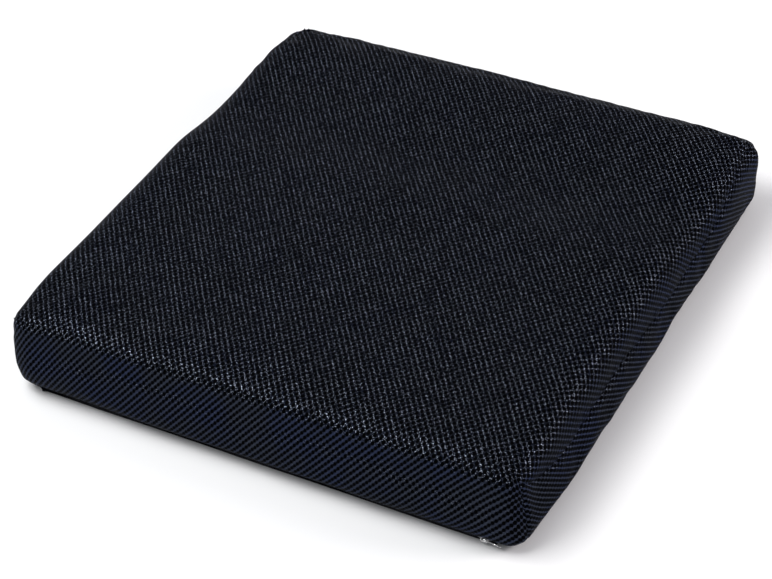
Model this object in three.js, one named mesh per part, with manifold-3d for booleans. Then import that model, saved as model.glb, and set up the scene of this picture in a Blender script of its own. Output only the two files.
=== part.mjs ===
// Office seat cushion: a contoured foam core in a thin liner, inside a zip-off cover of spacer mesh.
//
// Millimetres. X runs across the seat, -Y is the front edge, +Z is up. The origin is the middle of
// the cushion's footprint, on the surface that it lies on.
//
// The cover is one shell, cut along its seams into the panels that are sewn together: a top panel
// that runs on over the front edge and down to the zip, two side panels, a back panel and a base.
import * as THREE from "three";
import { mergeVertices } from "three/addons/utils/BufferGeometryUtils.js";
import Module from "manifold-3d";

const wasm = await Module();
wasm.setup();

// ---------------------------------------------------------------- driving dimensions

const coverWidth = 408;
const coverDepth = 426;
const uprightCornerRadius = 22;
const topEdgeRadius = 17;
const bottomEdgeRadius = 14;

// Height of the top at the side edges, from front to rear: a high front, a dip and a raised rear.
const frontHeight = 69;
const dipHeight = 62;
const ridgeHeight = 66.5;
const rearHeight = 64;
const dipStartY = 5;
const dipEndY = 90;
const ridgeStartY = 98;
const ridgeEndY = 158;
const rearFallStartY = 165;
const crown = 2.5;

// Heights of the seams above the ground.
const sideSeamHeight = 41;
const frontCornerSeamHeight = 52;
const backSeamHeight = 52;
const rearCornerSeamHeight = 60;
const baseSeamHeight = 4;
const frontSeamRiseStartY = 140;
const rearSeamRiseStartY = 85;
const backSeamRiseStartX = 140;
const frontSeamRiseEnd = 8; // short of the front of the cushion
const rearSeamRiseEnd = 24;
const backSeamRiseEnd = 14;

// Layers, measured inwards from the outside of the cover.
const gap = 0.35;
const coverThickness = 3;
const bindingDepth = coverThickness + gap;
const bindingThickness = 0.9;
const bindingHalfWidth = 6;
const bindingCornerClearance = 4; // from a corner's round to the end of a level binding
const baseBindingRise = 6; // the base bindings climb past the rounded bottom edge
const cornerBindingRise = 8; // and the upright ones start above them
const linerDepth = 4.9;
const linerThickness = 0.6;
const foamDepth = linerDepth + linerThickness + gap;
const linerBottomRadius = 18;
const slitHalfHeight = 1.5;
const foamLayerSplit = 32;

// Zip along the lower front edge. Angles are measured down from level, round the bottom edge.
const zipAngle = THREE.MathUtils.degToRad(40);
const zipSlotHalfAngle = THREE.MathUtils.degToRad(19.5);
const zipHalfLength = 186;
const tapeThickness = 0.6;
const tapeTopHeight = 20;
const tapeBackY = -190;
const chainHalfGap = 0.7;
const coilWidth = 1.7;
const coilHeight = 1.6;
const stopLength = 2.4;
const stopCrestRise = 0.3;
const stopOverhang = 0.2;

const sliderLength = 9.2;
const sliderRestX = 178;
const sliderPlateThickness = 0.8;
const sliderOuterHalfWidth = 3.6;
const sliderInnerHalfWidth = 2.8;
const sliderPostHalfWidth = 0.4;
const sliderPostStart = 3.4; // measured back from the slider's front end
const sliderPostEnd = 1;
const sliderPlateCut = 0.45; // of the plate's half-width
const sliderInnerClearance = 0.9;
const flangeThickness = 0.7;
const flangeInset = 2;
const flangeFloorRise = 0.5;
const jointSink = 0.2; // how far joined pieces of one casting run into each other
const bridgeHalfLength = 2.9;
const bridgeHalfWidth = 0.8;
const bridgeRise = 2.4;
const bridgeThickness = 0.8;
const bridgeCornerCut = 0.8;

const pullLength = 13;
const pullHalfWidth = 2.3;
const pullThickness = 0.8;
const pullRestAngle = THREE.MathUtils.degToRad(6);
const pullSideClearance = 0.45; // between the bridge and the arms of the pull
const pullEndClearance = 0.5;
const pullWaist = 0.6; // half-width of the waist, as a share of the pull's
const pullShoulder = [1, 2.5]; // where the shoulder starts and ends, past the window
const eyeNeck = 1.8; // from the waist to the middle of the eye
const eyeNeckAngle = THREE.MathUtils.degToRad(140);
const eyeHole = 0.5; // of the eye's radius

// ---------------------------------------------------------------- materials

function material(color, roughness, metalness = 0) {
  return new THREE.MeshStandardMaterial({ color, roughness, metalness });
}

const spacerMesh = material(0x11131c, 0.85);
const baseFabric = material(0x15161a, 0.9);
const bindingTape = material(0x0e0f14, 0.9);
const zipNylon = material(0x0c0d10, 0.6);
const zipMetal = material(0x8e9094, 0.35, 1);
const linerJersey = material(0xd9d8d2, 0.95);
const firmFoam = material(0xd8cf9e, 0.95);
const softFoam = material(0xe9e4d0, 0.95);

// ---------------------------------------------------------------- solids and booleans

/** A closed three.js geometry as a solid that can be joined and cut. */
function toSolid(geometry) {
  const bare = geometry.clone();
  bare.deleteAttribute("normal");
  bare.deleteAttribute("uv");
  const merged = mergeVertices(bare, 1e-4);
  return new wasm.Manifold(new wasm.Mesh({
    numProp: 3,
    vertProperties: Float32Array.from(merged.attributes.position.array),
    triVerts: Uint32Array.from(merged.index.array),
  }));
}

/** A solid as a three.js geometry. */
function toGeometry(solid) {
  const mesh = solid.getMesh();
  const geometry = new THREE.BufferGeometry();
  geometry.setAttribute("position", new THREE.Float32BufferAttribute(mesh.vertProperties, 3));
  geometry.setIndex(Array.from(mesh.triVerts));
  geometry.computeVertexNormals();
  return geometry;
}

function part(name, solid, look) {
  const mesh = new THREE.Mesh(toGeometry(solid), look);
  mesh.name = name;
  return mesh;
}

/** A flat outline of [a, b] points, pushed along its third axis from one place to another. */
function prism(outline, from, to, basis) {
  const shape = new THREE.Shape(outline.map(([a, b]) => new THREE.Vector2(a, b)));
  const geometry = new THREE.ExtrudeGeometry(shape, { depth: to - from, bevelEnabled: false });
  geometry.translate(0, 0, from);
  geometry.applyMatrix4(basis);
  return toSolid(geometry);
}

const alongX = new THREE.Matrix4().makeBasis(
  new THREE.Vector3(0, 1, 0), new THREE.Vector3(0, 0, 1), new THREE.Vector3(1, 0, 0));
const alongY = new THREE.Matrix4().makeBasis(
  new THREE.Vector3(0, 0, 1), new THREE.Vector3(1, 0, 0), new THREE.Vector3(0, 1, 0));
const upright = new THREE.Matrix4();

function block(xFrom, xTo, yFrom, yTo, zFrom, zTo) {
  const geometry = new THREE.BoxGeometry(xTo - xFrom, yTo - yFrom, zTo - zFrom);
  geometry.translate((xFrom + xTo) / 2, (yFrom + yTo) / 2, (zFrom + zTo) / 2);
  return toSolid(geometry);
}

function join(solids) {
  return solids.reduce((whole, solid) => whole.add(solid));
}

// ---------------------------------------------------------------- the cushion's form

const smooth = THREE.MathUtils.smoothstep;
const beyond = 60; // how far a cutting solid reaches past the cushion
const overlap = 1; // how far two cutting solids run into each other

/** Height of the top of the cushion, before the edges round it off. */
function topHeight(x, y) {
  const alongDepth = frontHeight
    - (frontHeight - dipHeight) * smooth(y, dipStartY, dipEndY)
    + (ridgeHeight - dipHeight) * smooth(y, ridgeStartY, ridgeEndY)
    - (ridgeHeight - rearHeight) * smooth(y, rearFallStartY, coverDepth / 2);
  return alongDepth + crown * (1 - (2 * x / coverWidth) ** 2);
}

/** Points round a rounded rectangle, anticlockwise from above, the same number at any size. */
function roundedOutline(halfX, halfY, radius) {
  const arcSteps = 3;
  const sideSteps = [6, 12];
  const corners = [[1, 1], [-1, 1], [-1, -1], [1, -1]];
  const arcs = corners.map(([signX, signY], turn) => {
    const centre = new THREE.Vector2(signX * (halfX - radius), signY * (halfY - radius));
    return Array.from({ length: arcSteps + 1 }, (_, step) => {
      const angle = (turn + step / arcSteps) * Math.PI / 2;
      return new THREE.Vector2(radius * Math.cos(angle), radius * Math.sin(angle)).add(centre);
    });
  });
  return arcs.flatMap((arc, turn) => {
    const last = arc[arcSteps];
    const next = arcs[(turn + 1) % 4][0];
    const steps = sideSteps[turn % 2];
    const side = Array.from({ length: steps - 1 },
      (_, step) => last.clone().lerp(next, (step + 1) / steps));
    return [...arc, ...side];
  });
}

/** The cushion's closed form, shrunk inwards by a depth, with its own bottom edge radius. */
function cushionForm(depth, bottomRadius = bottomEdgeRadius - depth) {
  const topRadius = topEdgeRadius - depth;
  const ring = (inward, share, height) => {
    const halfX = coverWidth / 2 - depth - inward;
    const halfY = coverDepth / 2 - depth - inward;
    const radius = Math.max(uprightCornerRadius - depth - inward, 1);
    return roundedOutline(halfX, halfY, radius)
      .map((point) => point.multiplyScalar(share))
      .map(({ x, y }) => new THREE.Vector3(x, y, height(x, y)));
  };
  const underside = () => depth;
  const rings = [ring(bottomRadius, 0.5, underside), ring(bottomRadius, 1, underside)];
  const edgeSteps = 4;
  for (let step = 1; step <= edgeSteps; step += 1) {
    const turn = step / edgeSteps * Math.PI / 2;
    const height = depth + bottomRadius * (1 - Math.cos(turn));
    rings.push(ring(bottomRadius * (1 - Math.sin(turn)), 1, () => height));
  }
  for (let step = 0; step <= edgeSteps; step += 1) {
    const turn = step / edgeSteps * Math.PI / 2;
    const drop = depth + topRadius * (1 - Math.sin(turn));
    rings.push(ring(topRadius * (1 - Math.cos(turn)), 1, (x, y) => topHeight(x, y) - drop));
  }
  const topSteps = 6;
  for (let step = 1; step < topSteps; step += 1) {
    rings.push(ring(topRadius, 1 - step / topSteps, (x, y) => topHeight(x, y) - depth));
  }
  return toSolid(closedLoft(rings, depth, topHeight(0, 0) - depth));
}

/** A closed skin over rings that start under the cushion, climb its sides and end on its top. */
function closedLoft(rings, bottom, top) {
  const around = rings[0].length;
  const points = rings.flat();
  const bottomCentre = points.push(new THREE.Vector3(0, 0, bottom)) - 1;
  const topCentre = points.push(new THREE.Vector3(0, 0, top)) - 1;
  const faces = [];
  for (let i = 0; i < around; i += 1) {
    const next = (i + 1) % around;
    faces.push(bottomCentre, next, i);
    for (let level = 0; level < rings.length - 1; level += 1) {
      const low = level * around;
      const high = low + around;
      faces.push(low + i, low + next, high + next, low + i, high + next, high + i);
    }
    const last = (rings.length - 1) * around;
    faces.push(last + i, last + next, topCentre);
  }
  const geometry = new THREE.BufferGeometry().setFromPoints(points);
  geometry.setIndex(faces);
  return geometry;
}

function shell(depth, thickness) {
  return cushionForm(depth).subtract(cushionForm(depth + thickness));
}

// ---------------------------------------------------------------- seam lines

const halfWidth = coverWidth / 2;
const halfDepth = coverDepth / 2;
const cornerCentreX = halfWidth - uprightCornerRadius;
const cornerCentreY = halfDepth - uprightCornerRadius;
const sectorDepth = 30; // how far in from the upright corners' centres a panel's sector starts

/** Height of the seam along the top of a side panel: it hangs between the raised corners. */
function sideSeam(y) {
  return sideSeamHeight
    + (frontCornerSeamHeight - sideSeamHeight)
      * smooth(-y, frontSeamRiseStartY, halfDepth - frontSeamRiseEnd)
    + (rearCornerSeamHeight - sideSeamHeight)
      * smooth(y, rearSeamRiseStartY, halfDepth - rearSeamRiseEnd);
}

/** Height of the seam along the top of the back panel. */
function backSeam(x) {
  return backSeamHeight
    + (rearCornerSeamHeight - backSeamHeight)
      * smooth(Math.abs(x), backSeamRiseStartX, halfWidth - backSeamRiseEnd);
}

/** The outline of a band between two heights that both follow a seam. */
function seamBand(seam, reach, from, to) {
  const steps = 14; // straight pieces along one seam
  const stations = Array.from({ length: steps + 1 }, (_, i) => reach * (2 * i / steps - 1));
  const lower = stations.map((place) => [place, from(seam(place))]);
  const upper = stations.map((place) => [place, to(seam(place))]);
  return [...lower, ...upper.reverse()];
}

/** In plan, everything on one side of the two upright corner seams, moved outwards by a shift. */
function sideSector(sign, shift) {
  const inner = cornerCentreX - sectorDepth;
  const outer = halfWidth + beyond;
  const spread = cornerCentreY - cornerCentreX;
  const x = (reach) => sign * (reach + shift);
  return prism([
    [x(inner), -(inner + spread)], [x(outer), -(outer + spread)],
    [x(outer), outer + spread], [x(inner), inner + spread],
  ], -beyond, 3 * beyond, upright);
}

function backSector(shift) {
  const inner = cornerCentreY - sectorDepth;
  const outer = halfDepth + beyond;
  const spread = cornerCentreX - cornerCentreY;
  return prism([
    [-(inner + spread), inner + shift], [inner + spread, inner + shift],
    [outer + spread, outer + shift], [-(outer + spread), outer + shift],
  ], -beyond, 3 * beyond, upright);
}

/** The space that a side panel fills, grown by a margin for cutting its neighbours away. */
function sideRegion(sign, margin) {
  const outline = seamBand(sideSeam, halfDepth + beyond,
    () => baseSeamHeight + gap - margin, (height) => height + margin);
  const reach = halfWidth + beyond;
  return prism(outline, Math.min(0, sign * reach), Math.max(0, sign * reach), alongX)
    .intersect(sideSector(sign, gap - margin));
}

function backRegion(margin) {
  const outline = seamBand(backSeam, halfWidth + beyond,
    () => baseSeamHeight + gap - margin, (height) => height + margin).map(([x, z]) => [z, x]);
  return prism(outline, 0, halfDepth + beyond, alongY).intersect(backSector(gap - margin));
}

const everything = [-halfWidth - beyond, halfWidth + beyond, -halfDepth - beyond, halfDepth + beyond];
const belowBaseSeam = block(...everything, -beyond, baseSeamHeight);
const aboveBaseSeam = block(...everything, baseSeamHeight + gap, 3 * beyond);

// ---------------------------------------------------------------- zip placing

const zipCentreY = -halfDepth + bottomEdgeRadius;
const zipCentreZ = bottomEdgeRadius;

/** A wedge of the bottom front edge, between two angles below level, along the zip. */
function edgeWedge(angleFrom, angleTo, halfLength) {
  const reach = beyond;
  const ray = (angle) => [
    zipCentreY - reach * Math.cos(angle),
    zipCentreZ - reach * Math.sin(angle),
  ];
  return prism([[zipCentreY, zipCentreZ], ray(angleFrom), ray(angleTo)],
    -halfLength, halfLength, alongX);
}

// The zip's own frame: X along the chain, Y across it and up, Z straight out of the cushion.
const zip = new THREE.Group();
zip.position.set(0, zipCentreY, zipCentreZ);
zip.rotation.x = Math.PI / 2 + zipAngle;

const tapeOuter = bottomEdgeRadius - bindingDepth;
const tapeInner = tapeOuter - tapeThickness;
const coilFloor = tapeOuter + gap;
const coilCrest = coilFloor + coilHeight;
const outerPlateFloor = coilCrest + gap;
const outerPlateCrest = outerPlateFloor + sliderPlateThickness;
const innerPlateCrest = tapeInner - sliderInnerClearance;

// ---------------------------------------------------------------- cover

function coverPanels() {
  const skin = shell(0, coverThickness);
  const slot = edgeWedge(zipAngle - zipSlotHalfAngle, zipAngle + zipSlotHalfAngle, zipHalfLength + 1);
  const neighbours = join([sideRegion(1, gap), sideRegion(-1, gap), backRegion(gap)]);
  return [
    part("cover_top_front", skin.intersect(aboveBaseSeam).subtract(neighbours).subtract(slot), spacerMesh),
    part("cover_side_right", skin.intersect(sideRegion(1, 0)), spacerMesh),
    part("cover_side_left", skin.intersect(sideRegion(-1, 0)), spacerMesh),
    part("cover_back", skin.intersect(backRegion(0)), spacerMesh),
    part("cover_base", skin.intersect(belowBaseSeam).subtract(slot), baseFabric),
  ];
}

/** Woven tapes that bind the raw edges behind each seam, lying flat inside the cover. */
function seamBindings() {
  const layer = shell(bindingDepth, bindingThickness);
  const clearOfCorners = uprightCornerRadius + bindingCornerClearance;
  const reachY = halfDepth - clearOfCorners;
  const reachX = halfWidth - clearOfCorners;
  const below = (height) => height - bindingHalfWidth;
  const above = (height) => height + bindingHalfWidth;
  const baseBindingTop = above(baseSeamHeight + baseBindingRise);
  const bindings = [];
  const bind = (name, region) => bindings.push(part(name, layer.intersect(region), bindingTape));

  for (const [side, sign] of [["right", 1], ["left", -1]]) {
    const from = Math.min(sign * reachX, sign * (halfWidth + beyond));
    const to = Math.max(sign * reachX, sign * (halfWidth + beyond));
    bind(`seam_binding_top_${side}`, prism(seamBand(sideSeam, reachY, below, above), from, to, alongX));
    bind(`seam_binding_base_${side}`, block(from, to, -reachY, reachY, 0, baseBindingTop));
  }
  bind("seam_binding_top_back", prism(
    seamBand(backSeam, reachX, below, above).map(([x, z]) => [z, x]), reachY, halfDepth + beyond, alongY));
  bind("seam_binding_base_back",
    block(-reachX, reachX, reachY, halfDepth + beyond, 0, baseBindingTop));

  const cornerBottom = above(baseSeamHeight + cornerBindingRise);
  const corners = [
    ["front_right", 1, -1, frontCornerSeamHeight], ["front_left", -1, -1, frontCornerSeamHeight],
    ["rear_right", 1, 1, rearCornerSeamHeight], ["rear_left", -1, 1, rearCornerSeamHeight],
  ];
  for (const [name, signX, signY, seamHeight] of corners) {
    const strip = new THREE.BoxGeometry(beyond, 2 * bindingHalfWidth, below(seamHeight) - cornerBottom);
    strip.rotateZ(Math.atan2(signY, signX));
    strip.translate(signX * (cornerCentreX + beyond / 3), signY * (cornerCentreY + beyond / 3),
      (below(seamHeight) + cornerBottom) / 2);
    bind(`seam_binding_corner_${name}`, toSolid(strip));
  }
  return bindings;
}

// ---------------------------------------------------------------- filling

/** Jersey sleeve round the foam, with the slit that the foam was pushed in through at the back. */
function liner() {
  const outer = cushionForm(linerDepth, linerBottomRadius);
  const inner = cushionForm(linerDepth + linerThickness, linerBottomRadius - linerThickness);
  const slit = block(-cornerCentreX, cornerCentreX, halfDepth - 2 * uprightCornerRadius,
    halfDepth + beyond, foamLayerSplit - slitHalfHeight, foamLayerSplit + slitHalfHeight);
  return part("foam_liner", outer.subtract(inner).subtract(slit), linerJersey);
}

function foamLayers() {
  const foam = cushionForm(foamDepth, linerBottomRadius - linerThickness - gap);
  return [
    part("foam_base_layer", foam.intersect(block(...everything, -beyond, foamLayerSplit)), firmFoam),
    part("foam_comfort_layer", foam.intersect(block(...everything, foamLayerSplit + gap, 3 * beyond)),
      softFoam),
  ];
}

// ---------------------------------------------------------------- zip

function zipTapes() {
  const layer = shell(bindingDepth, tapeThickness);
  const chainAngle = chainHalfGap / tapeOuter;
  const aboveEdge = block(-zipHalfLength, zipHalfLength, -halfDepth - beyond, zipCentreY,
    zipCentreZ - overlap, tapeTopHeight);
  const underEdge = block(-zipHalfLength, zipHalfLength, zipCentreY - overlap, tapeBackY,
    0, zipCentreZ / 2);
  const upper = edgeWedge(0, zipAngle - chainAngle, zipHalfLength).add(aboveEdge);
  const lower = edgeWedge(zipAngle + chainAngle, Math.PI / 2, zipHalfLength).add(underEdge);
  return [
    part("zip_tape_upper", layer.intersect(upper), zipNylon),
    part("zip_tape_lower", layer.intersect(lower), zipNylon),
  ];
}

/** One side of the chain: the two coils face each other across the middle of the zip. */
function coil(side, sign) {
  const near = sign * chainHalfGap;
  const far = sign * (chainHalfGap + coilWidth);
  const reach = zipHalfLength - stopLength - gap;
  return part(`zip_coil_${side}`,
    block(-reach, reach, Math.min(near, far), Math.max(near, far), coilFloor, coilCrest), zipNylon);
}

function endStops() {
  const height = coilCrest + stopCrestRise;
  const reach = chainHalfGap + coilWidth + stopOverhang;
  const [near, far] = [zipHalfLength - stopLength, zipHalfLength];
  return [
    part("zip_stop_bottom", block(-far, -near, -reach, reach, coilFloor, height), zipMetal),
    part("zip_stop_top_upper", block(near, far, chainHalfGap, reach, coilFloor, height), zipMetal),
    part("zip_stop_top_lower", block(near, far, -reach, -chainHalfGap, coilFloor, height), zipMetal),
  ];
}

/** A plate across the chain, with cut-off corners. */
function sliderPlate(halfWidthAcross, from, to) {
  const half = sliderLength / 2;
  const cut = halfWidthAcross * sliderPlateCut;
  return prism([
    [-half, -halfWidthAcross + cut], [-half + cut, -halfWidthAcross], [half - cut, -halfWidthAcross],
    [half, -halfWidthAcross + cut], [half, halfWidthAcross - cut], [half - cut, halfWidthAcross],
    [-half + cut, halfWidthAcross], [-half, halfWidthAcross - cut],
  ], from, to, upright);
}

/** Two plates joined by a post that runs between the coils, with side flanges and a bridge. */
function slider() {
  const half = sliderLength / 2;
  const sink = jointSink;
  const innerFloor = innerPlateCrest - sliderPlateThickness;
  const solids = [
    sliderPlate(sliderOuterHalfWidth, outerPlateFloor, outerPlateCrest),
    sliderPlate(sliderInnerHalfWidth, innerFloor, innerPlateCrest),
    block(half - sliderPostStart, half - sliderPostEnd, -sliderPostHalfWidth, sliderPostHalfWidth,
      innerPlateCrest - sink, outerPlateFloor + sink),
  ];
  for (const sign of [-1, 1]) {
    const edges = [sign * sliderOuterHalfWidth, sign * (sliderOuterHalfWidth - flangeThickness)];
    solids.push(block(-half + flangeInset, half - flangeInset, Math.min(...edges), Math.max(...edges),
      coilFloor + flangeFloorRise, outerPlateFloor + sink));
  }
  const bridgeTop = outerPlateCrest + bridgeRise;
  const outline = [
    [-bridgeHalfLength, outerPlateCrest - sink], [-bridgeHalfLength, bridgeTop - bridgeCornerCut],
    [-bridgeHalfLength + bridgeCornerCut, bridgeTop], [bridgeHalfLength - bridgeCornerCut, bridgeTop],
    [bridgeHalfLength, bridgeTop - bridgeCornerCut], [bridgeHalfLength, outerPlateCrest - sink],
  ];
  const opening = block(-bridgeHalfLength + bridgeThickness, bridgeHalfLength - bridgeThickness,
    -2 * bridgeHalfWidth, 2 * bridgeHalfWidth, outerPlateCrest, bridgeTop - bridgeThickness);
  const alongChain = new THREE.Matrix4().makeBasis(
    new THREE.Vector3(1, 0, 0), new THREE.Vector3(0, 0, 1), new THREE.Vector3(0, -1, 0));
  const bridge = prism(outline, -bridgeHalfWidth, bridgeHalfWidth, alongChain).subtract(opening);
  return part("zip_slider", join([...solids, bridge]), zipMetal);
}

/** A pull tab that hangs on the bridge by a cross bar and ends in a round eye. */
function pull() {
  const armInner = bridgeHalfWidth + pullSideClearance;
  const barHalf = pullThickness / 2;
  const bodyStart = bridgeHalfLength + pullEndClearance;
  const eyeRadius = pullHalfWidth;
  const eyeCentre = pullLength - eyeRadius;
  const waist = pullWaist * pullHalfWidth;
  const [shoulder, shoulderEnd] = pullShoulder.map((past) => bodyStart + past);
  const outline = new THREE.Shape();
  outline.moveTo(-barHalf, -pullHalfWidth);
  outline.lineTo(shoulder, -pullHalfWidth);
  outline.lineTo(shoulderEnd, -waist);
  outline.lineTo(eyeCentre - eyeNeck, -waist);
  outline.absarc(eyeCentre, 0, eyeRadius, -eyeNeckAngle, eyeNeckAngle, false);
  outline.lineTo(shoulderEnd, waist);
  outline.lineTo(shoulder, pullHalfWidth);
  outline.lineTo(-barHalf, pullHalfWidth);
  outline.closePath();
  const eye = new THREE.Path();
  eye.absarc(eyeCentre, 0, eyeRadius * eyeHole, 0, Math.PI * 2, true);
  const window = new THREE.Path();
  window.moveTo(barHalf, -armInner);
  window.lineTo(barHalf, armInner);
  window.lineTo(bodyStart, armInner);
  window.lineTo(bodyStart, -armInner);
  window.closePath();
  outline.holes.push(eye, window);
  const geometry = new THREE.ExtrudeGeometry(outline,
    { depth: pullThickness, bevelEnabled: false, curveSegments: 10 });
  geometry.translate(0, 0, -barHalf);
  return part("zip_pull", toSolid(geometry), zipMetal);
}

function zipAssembly() {
  const sliderGroup = new THREE.Group();
  sliderGroup.position.x = sliderRestX;
  const pullGroup = new THREE.Group();
  pullGroup.position.z = outerPlateCrest + (bridgeRise - bridgeThickness) / 2;
  pullGroup.rotation.y = -pullRestAngle;
  pullGroup.add(pull());
  sliderGroup.add(slider(), pullGroup);
  zip.add(coil("upper", 1), coil("lower", -1), ...endStops(), sliderGroup);
  return zip;
}

// ---------------------------------------------------------------- assembly

const cushion = new THREE.Group();
cushion.add(...coverPanels());
cushion.add(...seamBindings());
cushion.add(liner(), ...foamLayers());
cushion.add(...zipTapes());
cushion.add(zipAssembly());

export default cushion;
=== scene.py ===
"""Office seat cushion: a contoured foam core in a zip-off cover of black spacer mesh.

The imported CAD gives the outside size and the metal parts. The rest is drawn from the measures below:
the cover is sewn panels, swollen by a cloth simulation, puckered along its seams and knitted with
its staggered holes, and the zip, the base's grip dots and the filling are made in detail. Metres,
+Z up, front edge at -Y.
"""

import math

import bmesh
import bpy
import numpy as np
from mathutils import Matrix, Vector, noise


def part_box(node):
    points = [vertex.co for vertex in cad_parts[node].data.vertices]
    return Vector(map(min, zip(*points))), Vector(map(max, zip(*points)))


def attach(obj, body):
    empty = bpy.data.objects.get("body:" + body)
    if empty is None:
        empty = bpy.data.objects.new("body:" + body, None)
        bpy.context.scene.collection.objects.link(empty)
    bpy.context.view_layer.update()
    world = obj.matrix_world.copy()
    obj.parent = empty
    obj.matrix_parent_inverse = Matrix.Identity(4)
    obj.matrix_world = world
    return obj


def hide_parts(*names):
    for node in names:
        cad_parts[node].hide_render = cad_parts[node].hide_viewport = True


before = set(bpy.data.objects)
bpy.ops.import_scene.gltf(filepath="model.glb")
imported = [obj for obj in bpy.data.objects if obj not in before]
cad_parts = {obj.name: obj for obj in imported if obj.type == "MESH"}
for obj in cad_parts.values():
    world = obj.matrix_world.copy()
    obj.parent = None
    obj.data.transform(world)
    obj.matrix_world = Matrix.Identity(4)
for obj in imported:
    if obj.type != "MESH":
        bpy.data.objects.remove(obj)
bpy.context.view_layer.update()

MM = 0.001

# ---------------- measures of the cushion

half_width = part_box("cover_top_front")[1].x
half_depth = -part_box("cover_top_front")[0].y
corner_radius = 17 * MM
top_radius = 15 * MM
edge_power = 0.87  # below 1 makes the top's rounded edge squarer than an ellipse
bottom_radius = 14 * MM
rear_taper = 0.003  # how much narrower the rear half is low down, as a share of the width
right_flare = 2.6 * MM  # how far the right side leans out at its foot, along the front half
left_corner_dent = 1.0 * MM  # how far the front left corner is pushed in, and more at its foot
rear_corner_ears = 2.2 * MM  # how far the rear corners of the top stand out
lean_corner_reach, ear_reach = 32 * MM, 30 * MM  # how far round a corner the dent and the ears reach
foot_height = 42 * MM  # the sides lean below this height
ears_from_to = 25 * MM, 50 * MM  # the rear tapers below these heights and its ears stand out above

# Height of the top at the side edges, and where along the depth it changes.
front_height = 69 * MM
dip_height = 62 * MM
ridge_height = 65.6 * MM
rear_height = 61.3 * MM
dip_from, dip_to = 16 * MM, 88 * MM
ridge_from, ridge_to = 98 * MM, 158 * MM
rear_fall_from = 165 * MM
rear_tilt = 0.8 * MM  # how much higher the right end of the rear edge is than its middle
crown = 1.2 * MM
corner_droop = 3 * MM
corner_droop_reach = 34 * MM

# Heights of the seams.
side_seam_height = 41 * MM
side_seam_front_rises = (145 * MM, 200 * MM), (182 * MM, 202 * MM)  # from and to, in two equal steps
side_seam_rear_rise = 85 * MM, 185 * MM
side_seam_waves = (  # the rise, the middle and the reach of each
    (-3.5 * MM, 22 * MM, 34 * MM),
    (-2.5 * MM, -132 * MM, 22 * MM),
    (1.5 * MM, -60 * MM, 30 * MM),
)
front_corner_height = 56 * MM
back_seam_height = 52 * MM
rear_corner_height = 60.5 * MM
base_seam_height = 4 * MM
back_seam_rises_from, back_seam_rises_to = 130 * MM, half_width - 12 * MM
front_corner_turn = math.radians(20)  # where the front corners' upright seams stand, from the side

# How far the filling puffs the cloth out between its seams, before the simulation swells it more.
edge_puff = 0.6 * MM
side_puff = 2.3 * MM
puff_front_extra = 0.35  # how much more the walls puff out along the front half
seam_out = 2.4 * MM
seam_out_ends = 60 * MM, 22 * MM  # the seams stop standing out between these distances from a corner
front_puff = 2.5 * MM

# The most that the simulation may move each panel's cloth.
swell_limit = {
    "top_front": 1.2 * MM,
    "side_right": 5 * MM,
    "side_left": 5 * MM,
    "back": 5 * MM,
    "base": 0.3 * MM,
}

# The sewing: puckers and a groove beside each seam, slack between them, and the edge turned in.
pucker_depth = 0.9 * MM
pucker_reach = 11 * MM
pucker_spacing = 7 * MM
groove_depth = 1.0 * MM
groove_reach = 3.0 * MM
slack_depth = 0.8 * MM
slack_spacing = 55 * MM
lip_depth = 1.6 * MM

# Zip, on the lower front edge: angles are measured down from level, round the bottom edge.
zip_angle = math.radians(40)
upper_lip_angle = math.radians(25)
lower_lip_angle = math.radians(59.5)
lip_lift = 0.8 * MM  # how far the upper lip stands out, over the slider
lip_lift_from, lip_lift_to = 0.6, 0.95  # where it begins and is whole, as shares of the way down
zip_half_length = 186 * MM
zip_slot_fade = 4 * MM
slot_closes_from = zip_half_length - 1 * MM
lip_rise = 1.6 * MM  # how far the upper lip is drawn up in its two waves
lip_waves = (-145 * MM, 52 * MM), (52 * MM, 68 * MM)  # the middle and the reach of each wave
pull_from, pull_to = 174 * MM, 192 * MM
pull_half_width = 3.5 * MM
dent_fade = 8 * MM  # how far the dent under the pull takes to level out
pull_floor = 13.6 * MM  # the pull lies further out from the zip's axis than this
tape_depth = 3.35 * MM
tape_thickness = 0.6 * MM
tape_top = 20 * MM
tape_back = -190 * MM
chain_half_gap = 0.5 * MM

# The stitches along the slot's lips, in rows of the panels' fine grids. The base's row lies at the
# edge of the slider's path, which cuts it in places, and it ends short of the slider's left stop.
stitch_spacing = 3.2 * MM
stitch_length = 2.4 * MM
stitch_radius = 0.22 * MM
stitched_half_length = 170 * MM
stitched_rows = {"top_front": -5, "base": 4}

grip_height = 0.8 * MM
fabric_thickness = 1.8 * MM

# What lies inside the cover, as depths below its outside.
binding_depth = 3.9 * MM
binding_thickness = 0.7 * MM
binding_half_width = 6 * MM
liner_depth = 5.2 * MM
liner_thickness = 0.5 * MM
foam_depth = 6.1 * MM
foam_split = 32 * MM

# The knit: holes stand in a centred rectangular pattern of this width and length.
hole_pitch_across = 4.9 * MM
hole_pitch_along = 5.95 * MM
hole_half_width = 1.12 * MM
hole_half_length = 1.48 * MM
side_stretch_down = 0.87  # on the side strips the knit lies along their length, pulled tight
side_stretch_along = 1.03
knit_turn = math.radians(-1.6)
hole_colour = (0.0006, 0.0006, 0.0009, 1)
thread_dark = (0.0022, 0.0026, 0.0044, 1)
thread_blue = (0.020, 0.027, 0.056, 1)
thread_grey = (0.025, 0.030, 0.044, 1)
# painted highlight: the colour of the glints painted into the seat's thread colour
painted_glint_colour = (0.54, 0.60, 0.74, 1)


def smooth(value, start, end):
    """0 before start, 1 after end, and a smooth step between them."""
    share = np.clip((np.asarray(value, float) - start) / (end - start), 0, 1)
    return share * share * (3 - 2 * share)


def bump(value, centre, reach):
    """A round bump of height 1 about centre."""
    return np.exp(-(((np.asarray(value, float) - centre) / reach) ** 2))


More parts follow.
